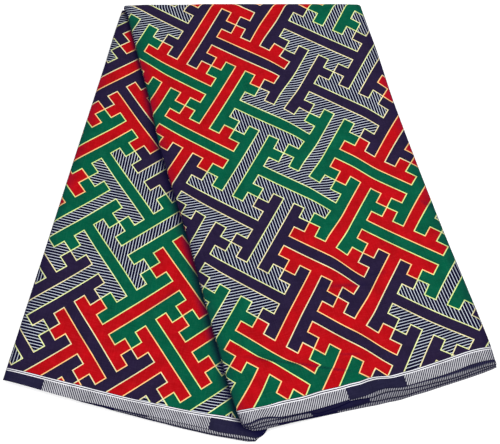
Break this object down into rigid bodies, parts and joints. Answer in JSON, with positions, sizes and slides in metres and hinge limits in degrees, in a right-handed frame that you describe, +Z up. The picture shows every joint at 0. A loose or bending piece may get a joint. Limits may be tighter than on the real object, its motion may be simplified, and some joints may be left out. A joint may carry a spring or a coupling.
{
  "type": "wax print fabric",
  "caption": "Length of wax print cotton folded into a long layered strip and doubled over into fanned legs, with a key fret print and banded selvages.",
  "frame": {"origin": "middle of the cloth's bounding box, on the surface that it lies on", "axes": "+Z up from that surface, +X to the right across the fanned legs, +Y from the selvages to the top fold"},
  "size_m": [0.615, 0.6035, 0.0177],
  "materials": {
    "print": "smooth waxed cotton, printed in red, green and dark blue with yellow outlines, with a slight sheen",
    "selvage": "smooth cotton selvage, dark blue blocks and finely hatched blocks with white edge lines",
    "layers": "folded edges and hatched selvages of the layers beneath"
  },
  "bodies": {
    "root": {"front_panel": "print", "front_selvage": "selvage", "back_panel": "print", "back_selvage": "selvage", "top_fold": "print", "hidden_layers": "layers"}
  },
  "joints": []
}
